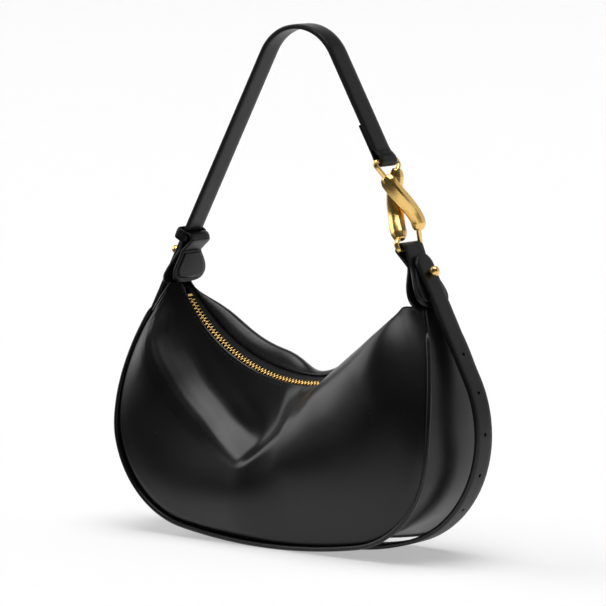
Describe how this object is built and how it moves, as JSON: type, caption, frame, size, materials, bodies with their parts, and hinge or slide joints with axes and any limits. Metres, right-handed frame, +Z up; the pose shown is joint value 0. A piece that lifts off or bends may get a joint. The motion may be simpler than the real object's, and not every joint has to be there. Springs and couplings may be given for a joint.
{
  "type": "half moon shoulder bag",
  "caption": "Black leather half moon shoulder bag with a zipped crescent top, twisted gold link and buttoned strap.",
  "frame": {"origin": "middle of the flat strap run that the bag stands on, at its underside", "axes": "+Z up, +X towards the end with the twisted link, -Y towards the front panel with the V fold"},
  "size_m": [0.3638, 0.0962, 0.421],
  "materials": {
    "leather": "satin",
    "gold": "satin",
    "tape": "matte",
    "lining": "matte",
    "board": "matte"
  },
  "bodies": {
    "bag": {"back_lining": "lining", "back_panel": "leather", "back_piping": "leather", "base_board": "board", "front_lining": "lining", "front_panel": "leather", "front_piping": "leather", "gusset": "leather", "gusset_lining": "lining", "left_stud": "gold", "left_stud_screw": "gold", "left_tab_core": "board", "left_tab_inner_leaf": "leather", "left_tab_inner_patch": "leather", "left_tab_outer_leaf": "leather", "left_tab_outer_patch": "leather", "right_stud": "gold", "right_stud_screw": "gold", "right_tab_core": "board", "right_tab_inner_leaf": "leather", "right_tab_inner_patch": "leather", "right_tab_outer_leaf": "leather", "right_tab_outer_patch": "leather", "slip_pocket": "lining", "strap_base": "leather", "strap_tail_left": "leather", "strap_tail_right": "leather", "zip_bottom_stop": "gold", "zip_top_stops": "gold"},
    "mouth_front": {"zip_tape_front": "tape", "zip_teeth_front": "gold"},
    "mouth_back": {"zip_tape_back": "tape", "zip_teeth_back": "gold"},
    "slider": {"zip_slider": "gold"},
    "pull": {"zip_pull": "gold"},
    "right_loop": {"right_tab_loop": "leather"},
    "left_loop": {"left_tab_loop": "leather", "strap_keeper_run": "leather"},
    "keeper": {"strap_keeper": "leather"},
    "link": {"link_front_bar": "gold", "link_back_bar": "gold", "link_lower_eye": "gold", "link_upper_eye": "gold"},
    "strap_right": {"strap_handle_right": "leather"},
    "strap_left": {"strap_handle_left": "leather"},
    "tail_end": {"strap_tail_end": "leather"}
  },
  "joints": [
    {"name": "zip_slide", "type": "hinge", "parent": "bag", "child": "slider", "pos_m": [0, 0, 0.27404], "axis": [0, 1, 0], "range_deg": [0, 102]},
    {"name": "mouth_front_open", "type": "hinge", "parent": "bag", "child": "mouth_front", "pos_m": [0, 0, 0.203], "axis": [-1, 0, 0], "range_deg": [0, 16], "deforming": ["zip_tape_front", "zip_teeth_front"]},
    {"name": "mouth_back_open", "type": "hinge", "parent": "bag", "child": "mouth_back", "pos_m": [0, 0, 0.203], "axis": [1, 0, 0], "range_deg": [0, 16], "deforming": ["zip_tape_back", "zip_teeth_back"]},
    {"name": "pull_swing", "type": "hinge", "parent": "slider", "child": "pull", "pos_m": [0.11849, 0, 0.19707], "axis": [0, 1, 0], "range_deg": [0, 125]},
    {"name": "handle_fold", "type": "hinge", "parent": "bag", "child": "right_loop", "pos_m": [0, 0, 0.23406], "axis": [1, 0, 0], "range_deg": [-100, 100], "deforming": ["right_tab_loop"]},
    {"name": "left_loop_fold", "type": "hinge", "parent": "bag", "child": "left_loop", "pos_m": [0, 0, 0.23406], "axis": [1, 0, 0], "range_deg": [-100, 100], "deforming": ["left_tab_loop", "strap_keeper_run"]},
    {"name": "link_swing", "type": "hinge", "parent": "right_loop", "child": "link", "pos_m": [0.10681, 0, 0.24627], "axis": [0, 1, 0], "range_deg": [-15, 15]},
    {"name": "strap_end_swing", "type": "hinge", "parent": "link", "child": "strap_right", "pos_m": [0.08333, 0, 0.31486], "axis": [0, 1, 0], "range_deg": [-22, 22]},
    {"name": "strap_apex_flex", "type": "hinge", "parent": "strap_right", "child": "strap_left", "pos_m": [0.00041, 0, 0.41915], "axis": [0, 1, 0], "range_deg": [-9, 9]},
    {"name": "keeper_swing", "type": "hinge", "parent": "left_loop", "child": "keeper", "pos_m": [-0.10681, 0, 0.24627], "axis": [0, 1, 0], "range_deg": [-2, 2], "deforming": ["strap_keeper"]},
    {"name": "tail_unbutton", "type": "hinge", "parent": "bag", "child": "tail_end", "pos_m": [0.17857, 0, 0.08519], "axis": [0, 1, 0], "range_deg": [0, 75], "deforming": ["strap_tail_end"]}
  ],
  "couplings": [
    {"joint": "mouth_front_open", "follows": "zip_slide", "ratio": 0.155},
    {"joint": "mouth_back_open", "follows": "zip_slide", "ratio": 0.155},
    {"joint": "left_loop_fold", "follows": "handle_fold", "ratio": 1},
    {"joint": "strap_end_swing", "follows": "link_swing", "ratio": -1.4473},
    {"joint": "strap_apex_flex", "follows": "link_swing", "ratio": 0.5742},
    {"joint": "keeper_swing", "follows": "link_swing", "ratio": 0.1269}
  ]
}
